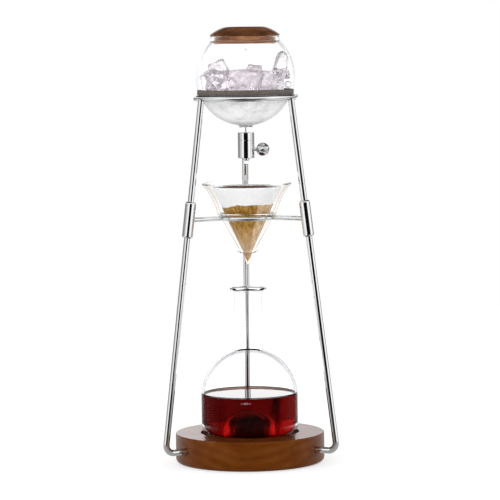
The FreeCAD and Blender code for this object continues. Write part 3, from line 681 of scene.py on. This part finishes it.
def addBubbles(material):
    centre = Vector((0, 0, globeSet["middle"]))
    build = bmesh.new()
    for bubble in bubbleSet:
        out = Vector(bubble["place"]) * mm - centre
        reach = min(out.length, globeSet["inside"] - (bubble["radius"] + 0.4) * mm)
        bmesh.ops.create_icosphere(build, subdivisions=3, radius=bubble["radius"] * mm,
                                   matrix=Matrix.Translation(centre + out.normalized() * reach))
    finished(build, "trappedBubbles", "globe", material)


# Cushion ring

cushionSet = {"wire": 54.505 * mm, "height": 404.0 * mm, "wireRoom": 3.8 * mm, "outside": 53.3 * mm,
              "above": 8.8 * mm, "below": 2.5 * mm, "skirt": 50.4 * mm, "glass": 54.65 * mm, "lip": 1.5 * mm}


def addCushion(material):
    # A moulded collar between the wire and the glass, hollowed to fit the wire, with a rolled upper lip
    height, wireRoom, lip = cushionSet["height"], cushionSet["wireRoom"], cushionSet["lip"]
    outside, skirt = cushionSet["outside"], cushionSet["skirt"]
    top = height + cushionSet["above"]
    low = height - cushionSet["below"]

    def onGlass(level):
        return math.sqrt(cushionSet["glass"] ** 2 - (level - globeSet["middle"]) ** 2), level

    outline = [onGlass(low), (skirt - 0.4 * mm, low), (skirt, low + 0.4 * mm)]
    outline += arc(cushionSet["wire"], height, wireRoom, 180, 110, 8)
    outline += [(outside, height + wireRoom + 0.4 * mm)]
    outline += arc(outside - lip, top - lip, lip, 0, 90, 8)
    outline += [(onGlass(top)[0] + 0.1 * mm, top), (onGlass(top)[0], top - 0.2 * mm)]
    outline += [onGlass(level) for level in (top - 2 * mm, top - 4.5 * mm, top - 7 * mm, low + 2 * mm)]
    finished(turned(outline, 128, closed=True), "cushionCollar", "globe", material,
             replaces=("globe_cushion",))


# Filter paper, with the side of its fold between seam and seamEnd, in degrees from the front

paperSet = {"top": 306.3 * mm, "tip": 222.796 * mm, "slope": 0.4647, "thick": 0.3 * mm,
            "wetLeft": 283.4 * mm, "wetRight": 286.7 * mm, "riseFrom": -26 * mm, "riseTo": -11 * mm,
            "wobble": 0.8 * mm, "paleFrom": 262 * mm, "paleTo": 232 * mm, "seam": 21, "seamEnd": 150}


def filterPaper():
    # Bleached filter paper folded to a cone: white, matt and fibrous where dry, golden brown and smoother
    # where coffee has soaked it, and paler over the side where the fold leaves a single layer
    material, tree, surface, place = newMaterial("foldedFilterPaper")
    spot = addNode(tree, "SeparateXYZ", links={0: place}, out="all")
    fibres = addNode(tree, "TexNoise", {"Scale": 1.0, "Detail": 6.0, "Roughness": 0.65},
                     {"Vector": stretched(tree, place, 1.3, 1.3, 3.0)})
    streaks = addNode(tree, "TexNoise", {"Scale": 1.0, "Detail": 5.0, "Roughness": 0.62},
                      {"Vector": stretched(tree, place, 3.4, 3.4, 70)})
    seep = addNode(tree, "TexNoise", {"Scale": 1.0, "Detail": 3.0},
                   {"Vector": stretched(tree, place, 7, 7, 7)})
    # The coffee has risen a little higher on the right
    rise = addNode(tree, "MapRange", {"From Min": paperSet["riseFrom"], "From Max": paperSet["riseTo"],
                                      "To Min": paperSet["wetLeft"], "To Max": paperSet["wetRight"]},
                   {"Value": spot["X"]})
    wobble = addNode(tree, "MapRange", {"From Min": 0.3, "From Max": 0.7, "To Min": -paperSet["wobble"],
                                        "To Max": paperSet["wobble"]}, {"Value": seep})
    edge = addNode(tree, "Math", links={0: rise, 1: wobble}, operation="ADD")
    under = addNode(tree, "Math", links={0: edge, 1: spot["Z"]}, operation="SUBTRACT")
    wet = addNode(tree, "MapRange", {"From Min": -0.5 * mm, "From Max": 0.5 * mm}, {"Value": under})
    dryTone = addNode(tree, "ValToRGB", links={0: fibres},
                      stops=[(0.3, linear("#E2E2E3")), (0.7, linear("#F0F0F0"))])
    folded = addNode(tree, "ValToRGB", links={0: streaks}, stops=[
        (0.34, linear("#775319")), (0.5, linear("#9D7533")), (0.66, linear("#B69155"))])
    single = addNode(tree, "ValToRGB", links={0: streaks}, stops=[
        (0.34, linear("#A88454")), (0.5, linear("#C6A57B")), (0.66, linear("#DCC5A6"))])
    front = addNode(tree, "Math", {0: 0}, {1: spot["Y"]}, operation="SUBTRACT")
    angle = addNode(tree, "Math", links={0: spot["X"], 1: front}, operation="ARCTAN2")
    seam, seamEnd = math.radians(paperSet["seam"]), math.radians(paperSet["seamEnd"])
    begun = addNode(tree, "MapRange", {"From Min": seam, "From Max": seam + 0.03}, {"Value": angle})
    ended = addNode(tree, "MapRange", {"From Min": seamEnd, "From Max": seamEnd + 0.03,
                                       "To Min": 1.0, "To Max": 0.0}, {"Value": angle})
    oneLayer = addNode(tree, "Math", links={0: begun, 1: ended}, operation="MULTIPLY")
    soaked = addNode(tree, "Mix", links={0: oneLayer, 6: folded, 7: single}, data_type="RGBA", out=2)
    # The tip hangs clear of the grounds and is paler
    tipward = addNode(tree, "MapRange", {"From Min": paperSet["paleTo"], "From Max": paperSet["paleFrom"],
                                         "To Min": 0.5, "To Max": 0.0}, {"Value": spot["Z"]})
    wetTone = addNode(tree, "Mix", {7: linear("#DCC6B0")}, {0: tipward, 6: soaked}, data_type="RGBA", out=2)
    tone = addNode(tree, "Mix", links={0: wet, 6: dryTone, 7: wetTone}, data_type="RGBA", out=2)
    relief = addNode(tree, "Bump", {"Strength": 0.35, "Distance": 0.12 * mm}, {"Height": fibres})
    gloss = addNode(tree, "MapRange", {"To Min": 0.85, "To Max": 0.45}, {"Value": wet})
    sheet = addNode(tree, "BsdfPrincipled", {"Specular Tint": linear("#606060")},
                    {"Base Color": tone, "Roughness": gloss, "Normal": relief})
    glow = addNode(tree, "BsdfTranslucent", links={"Color": tone, "Normal": relief})
    tree.links.new(addNode(tree, "MixShader", {0: 0.2}, {1: sheet, 2: glow}), surface)
    return material


def addPaper(material):
    top, tip, slope, thick = paperSet["top"], paperSet["tip"], paperSet["slope"], paperSet["thick"]
    heights = [tip + (top - tip) * (i / 40) for i in range(1, 41)]
    outer = [(slope * (height - tip), height) for height in heights]
    inner = [(radius - thick, height) for radius, height in outer if radius > thick * 3]
    outline = [(0, tip)] + outer + inner[::-1] + [(0, tip + 4 * thick)]
    finished(turned(outline, 180), "paperCone", "dripper", material,
             replaces=("filter_paper",))


# Coffee bed

bedSet = {"top": 304.5 * mm, "inset": 0.6 * mm, "dome": 1.0 * mm, "tipRadius": 1.5 * mm}


def wetGrounds():
    # Medium-ground coffee, soaked: rough, dark brown grains
    material, tree, surface, place = newMaterial("wetGroundCoffee")
    grains = addNode(tree, "TexVoronoi", {"Scale": 1.0}, {"Vector": stretched(tree, place, 0.9, 0.9, 0.9)},
                     out="Distance")
    tone = addNode(tree, "ValToRGB", links={0: grains},
                   stops=[(0.1, linear("#7A5A4C")), (0.6, linear("#4A3128"))])
    relief = addNode(tree, "Bump", {"Strength": 0.6, "Distance": 0.4 * mm}, {"Height": grains})
    grounds = addNode(tree, "BsdfPrincipled", {"Roughness": 0.6, "Specular Tint": linear("#808080")},
                      {"Base Color": tone, "Normal": relief})
    tree.links.new(grounds, surface)
    return material


def addCoffeeBed(material):
    top, inset, slope, tip = bedSet["top"], bedSet["inset"], paperSet["slope"], paperSet["tip"]
    low = tip + bedSet["tipRadius"] / slope
    rim = slope * (top - tip) - inset
    heights = [low + (top - low) * i / 12 for i in range(1, 13)]
    shares = (0.96, 0.9, 0.82, 0.74, 0.66, 0.58, 0.5, 0.42, 0.34, 0.26, 0.18, 0.1, 0)
    outline = [(0, low), (0.2 * mm, low)]
    outline += [(slope * (height - tip) - inset, height) for height in heights]
    outline += [(rim * share, top) for share in shares]
    build = turned(outline, 128)
    for vert in build.verts:
        flat = Vector((vert.co.x, vert.co.y, 0))
        if vert.co.z > top - 0.01 * mm and flat.length < rim * 0.99:
            dome = bedSet["dome"] * (1 - (flat.length / rim) ** 2)
            vert.co.z += dome + 0.5 * mm * noise.noise(flat / (3 * mm)) - 0.2 * mm
    finished(build, "wetCoffeeBed", "dripper", material, replaces=("coffee_bed",))


# Brewed coffee in the flask

flaskSet = {"foot": 28.4 * mm, "radius": 53.5 * mm, "wall": 2.0 * mm, "coffeeCorner": 15.0 * mm,
            "punt": 21.0 * mm, "puntHeight": 29.2 * mm, "puntRounding": 4.0 * mm, "domeMiddle": 72.8 * mm,
            "coffeeTop": 75.6 * mm, "wetting": 0.12 * mm, "meniscus": 1.8 * mm, "hollow": 24.2 * mm}
puntMiddle = flaskSet["foot"] + flaskSet["puntHeight"] - flaskSet["punt"]


def brewedCoffee():
    # Cold brew held up to the light: clear, dark red, near black where it is deep, under a bright film of
    # coffee oils that mirrors the room at low angles
    material, tree, surface, place = newMaterial("coldBrewCoffee")
    top = flaskSet["coffeeTop"]
    swirl = addNode(tree, "TexNoise", {"Scale": 1.0, "Detail": 1.0},
                    {"Vector": stretched(tree, place, 16, 16, 16)})
    ripple = addNode(tree, "Bump", {"Strength": 0.05, "Distance": 0.2 * mm}, {"Height": swirl})
    spot = addNode(tree, "SeparateXYZ", links={0: place}, out="all")
    normal = addNode(tree, "NewGeometry", out="Normal")
    upward = addNode(tree, "SeparateXYZ", links={0: normal}, out="Z")
    level = addNode(tree, "MapRange", {"From Min": 0.93, "From Max": 0.99}, {"Value": upward})
    high = addNode(tree, "MapRange", {"From Min": top - 1 * mm, "From Max": top}, {"Value": spot["Z"]})
    oily = addNode(tree, "Math", links={0: level, 1: high}, operation="MULTIPLY")
    # The hollow in the flask's floor mirrors the sides at its rim. Over its middle, where the coffee faces
    # the eye, its colour is tinted near black for the dark seat seen through it: painted shade
    away = addNode(tree, "VectorMath", {1: (0, 0, puntMiddle)}, {0: place}, operation="DISTANCE", out="Value")
    hollow = addNode(tree, "MapRange", {"From Min": flaskSet["hollow"],
                                        "From Max": flaskSet["hollow"] + 0.8 * mm,
                                        "To Min": 1.0, "To Max": 0.0}, {"Value": away})
    mirroring = addNode(tree, "Math", links={0: hollow, 1: oily}, operation="MAXIMUM")
    aslant = addNode(tree, "LayerWeight", {"Blend": 0.5}, out="Facing")
    square = addNode(tree, "MapRange", {"From Min": 0.14, "From Max": 0.2, "To Min": 1.0, "To Max": 0.0},
                     {"Value": aslant})
    middle = addNode(tree, "Math", links={0: hollow, 1: square}, operation="MULTIPLY")
    # Painted shade: near black over the middle of the hollow
    tone = addNode(tree, "Mix", {6: linear("#FFFFFF"), 7: linear("#2A0606")},
                   {0: middle}, data_type="RGBA", out=2)
    # Where it has climbed the far wall, coffee shows as a thin brown film
    climbed = addNode(tree, "MapRange", {"From Min": top + 0.1 * mm, "From Max": top + 0.3 * mm},
                      {"Value": spot["Z"]})
    flat = addNode(tree, "CombineXYZ", links={"X": spot["X"], "Y": spot["Y"]})
    facing = addNode(tree, "VectorMath", links={0: flat, 1: normal}, operation="DOT_PRODUCT", out="Value")
    far = addNode(tree, "Math", {1: 0.0}, {0: facing}, operation="LESS_THAN")
    film = addNode(tree, "Math", links={0: climbed, 1: far}, operation="MULTIPLY")
    brown = addNode(tree, "Mix", {6: linear("#FFFFFF"), 7: linear("#D8C6BD")},
                    {0: film}, data_type="RGBA", out=2)
    plain = addNode(tree, "BsdfRefraction", {"Roughness": 0.0, "IOR": 1.34},
                    {"Color": brown, "Normal": ripple})
    bright = addNode(tree, "BsdfPrincipled", {"Roughness": 0.0, "IOR": 1.34, "Transmission Weight": 1.0,
                                              "Specular Tint": linear("#202020"), "Coat IOR": 1.7,
                                              "Coat Roughness": 0.0},
                     {"Base Color": tone, "Normal": ripple, "Coat Weight": oily})
    liquid = addNode(tree, "MixShader", links={0: mirroring, 1: plain, 2: bright})
    seenByLamps(tree, surface, liquid, "#401010")
    depth = addNode(tree, "VolumeAbsorption", {"Color": linear("#E8593F"), "Density": 95.0})
    tree.links.new(depth, surface.node.inputs["Volume"])
    return material


def addBrewedCoffee(material):
    # The coffee wets the glass: over the punt, down to the floor, up the wall and level across the top
    inset = flaskSet["wall"] - flaskSet["wetting"]
    belly = flaskSet["radius"] - inset
    floor = flaskSet["foot"] + inset
    punt = flaskSet["punt"] + inset
    rounding = flaskSet["puntRounding"] - inset
    corner, top, domeMiddle = flaskSet["coffeeCorner"], flaskSet["coffeeTop"], flaskSet["domeMiddle"]
    outline = arc(0, puntMiddle, punt, 90, 0, 24)
    outline[0] = (0, puntMiddle + punt)
    outline += arc(punt + rounding, floor + rounding, rounding, 180, 270, 5)
    outline += arc(belly - corner, floor + corner, corner, -90, 0, 12)
    outline += [(belly, domeMiddle - 20 * mm), (belly, domeMiddle)]
    # Its edge climbs the wall as a thin film: mm from the wall, and share of the climb
    climb = ((0.0, 0.5), (0.0, 1.0), (0.12, 0.85), (0.2, 0.5), (0.4, 0.28), (0.8, 0.12), (1.4, 0.04),
             (2.4, 0.0))
    for away, rise in climb:
        height = top + rise * flaskSet["meniscus"]
        wall = math.sqrt(belly ** 2 - (height - domeMiddle) ** 2)
        outline.append((wall - away * mm, height))
    outline += [(belly * share, top) for share in (0.8, 0.5, 0.2, 0)]
    finished(turned(outline, 160), "coldBrew", "flask", material,
             replaces=("brewed_coffee",))


# Drops: each hangs from a height, with a neck as wide as what it clings to

dropSet = {
    "waterDrop": {"body": "globe", "slot": "crushed_ice", "liquid": "clearWaterDrop",
                  "colour": "#FFFFFF", "high": 334.16 * mm, "radius": 2.2 * mm, "length": 4.2 * mm,
                  "neck": 1.6 * mm},
    "coffeeDrop": {"body": "dripper", "slot": "brewed_coffee", "liquid": "paleCoffeeDrop",
                   "colour": "#FBEAD6", "high": 232.6 * mm, "radius": 1.5 * mm, "length": 13.4 * mm,
                   "neck": 5.1 * mm},
}


def liquidDrop(name, colour):
    # A drop of water or coffee: clear, bright at its middle with a thin dark edge
    material, tree, surface, place = newMaterial(name)
    waves = addNode(tree, "TexNoise", {"Scale": 1.0}, {"Vector": stretched(tree, place, 3, 3, 3)})
    skin = addNode(tree, "Bump", {"Strength": 0.1, "Distance": 0.1 * mm}, {"Height": waves})
    clear = addNode(tree, "BsdfPrincipled", {"Base Color": linear(colour), "Roughness": 0.0, "IOR": 1.33,
                                             "Transmission Weight": 1.0}, {"Normal": skin})
    seenByLamps(tree, surface, clear)
    return material


def addDrop(name):
    drop = dropSet[name]
    high, radius, length, neck = drop["high"], drop["radius"], drop["length"], drop["neck"]
    low = high - length
    outline = [(0, high), (neck, high), ((neck + radius) / 2, high - (length - radius) * 0.45)]
    outline += arc(0, low + radius, radius, 12, -90, 10)[:-1] + [(0, low)]
    material = liquidDrop(drop["liquid"], drop["colour"])
    finished(turned(outline, 32), name, drop["body"], material)


# A plain volume mark for the level that it stands at, in ml, between two short lines

markSet = {"text": "300", "height": 71.3 * mm, "letter": 2.1 * mm, "line": 1.7 * mm, "lineWidth": 0.5 * mm,
           "away": 4.6 * mm, "thick": 0.12 * mm, "turn": -5.8}


def enamelPrint():
    # Fired enamel print on the glass: pale, matt and a little worn
    material, tree, surface, place = newMaterial("firedEnamelPrint")
    wear = addNode(tree, "TexNoise", {"Scale": 1.0, "Detail": 3.0},
                   {"Vector": stretched(tree, place, 0.8, 0.8, 0.8)})
    tone = addNode(tree, "ValToRGB", links={0: wear},
                   stops=[(0.3, linear("#C3ADAE")), (0.7, linear("#E2D3D3"))])
    tree.links.new(addNode(tree, "BsdfPrincipled", {"Roughness": 0.5}, {"Base Color": tone}), surface)
    return material


def addVolumeMark(material):
    data = bpy.data.curves.new("volumeMark", "FONT")
    data.body = markSet["text"]
    data.size = markSet["letter"] * 1.35  # a figure is shorter than the font's size
    data.space_character = 1.15
    data.align_x = "CENTER"
    data.align_y = "CENTER"
    data.resolution_u = 3
    data.extrude = markSet["thick"] / 2
    letters = bpy.data.objects.new("volumeMarkText", data)
    bpy.context.scene.collection.objects.link(letters)
    bpy.context.view_layer.update()
    build = bmesh.new()
    build.from_mesh(letters.evaluated_get(bpy.context.evaluated_depsgraph_get()).to_mesh())
    bpy.data.objects.remove(letters)
    bpy.data.curves.remove(data)
    for side in (-1, 1):
        for vert in bmesh.ops.create_cube(build, size=1.0)["verts"]:
            vert.co = Vector((side * markSet["away"] + vert.co.x * markSet["line"],
                              vert.co.y * markSet["lineWidth"], vert.co.z * markSet["thick"]))
    bmesh.ops.remove_doubles(build, verts=build.verts, dist=1e-6)
    bmesh.ops.recalc_face_normals(build, faces=build.faces)
    for vert in build.verts:
        # Wrapped round the front of the flask
        across, rise, out = vert.co
        turn = across / flaskSet["radius"] + math.radians(markSet["turn"])
        reach = flaskSet["radius"] + out + markSet["thick"] / 2
        vert.co = (reach * math.sin(turn), -reach * math.cos(turn), markSet["height"] + rise)
    finished(build, "volumeMark", "flask", material, smooth=False)


addCamera()
addWorld()
addFloor()
addKeyLamp()
allowDeepGlass()

legPieces = [kind + side for kind in ("lower_leg_", "sleeve_", "upper_leg_", "spoke_")
             for side in ("left", "right", "rear")]
dress(polishedStainless(), *legPieces, "globe_ring", "dripper_ring", "valve_collar", "valve_body",
      "drip_nozzle", "valve_needle")
dress(satinStainless(), "ball_knob")
dress(turnedBrass(), "leg_bushes")
dress(blackenedSteel(), "leg_set_screws")
dress(lacqueredWood(baseWood), "wooden_base")
dress(lacqueredWood(lidWood), "lid")
for node, glass in glassSet.items():
    dress(clearGlass(glass), node)
dress(mouldedSilicone(padRubber), "base_pad")
dress(mouldedSilicone(gasketSilicone), "neck_gasket", "needle_seals")
dress(mouldedSilicone(sealSilicone), "lid_seal")
print("frame, valve, wood and glass dressed")

addCushion(mouldedSilicone(cushionSilicone))
addIceFill(crushedIce())
addIceChunks(clearIce())
addBubbles(airBubble())
print("cushion fitted and ice in the globe")
addPaper(filterPaper())
addCoffeeBed(wetGrounds())
print("paper and coffee in the dripper")
addBrewedCoffee(brewedCoffee())
for name in dropSet:
    addDrop(name)
addVolumeMark(enamelPrint())
print("coffee in the flask, drops and volume mark added")

bpy.context.scene.view_settings.view_transform = "Standard"
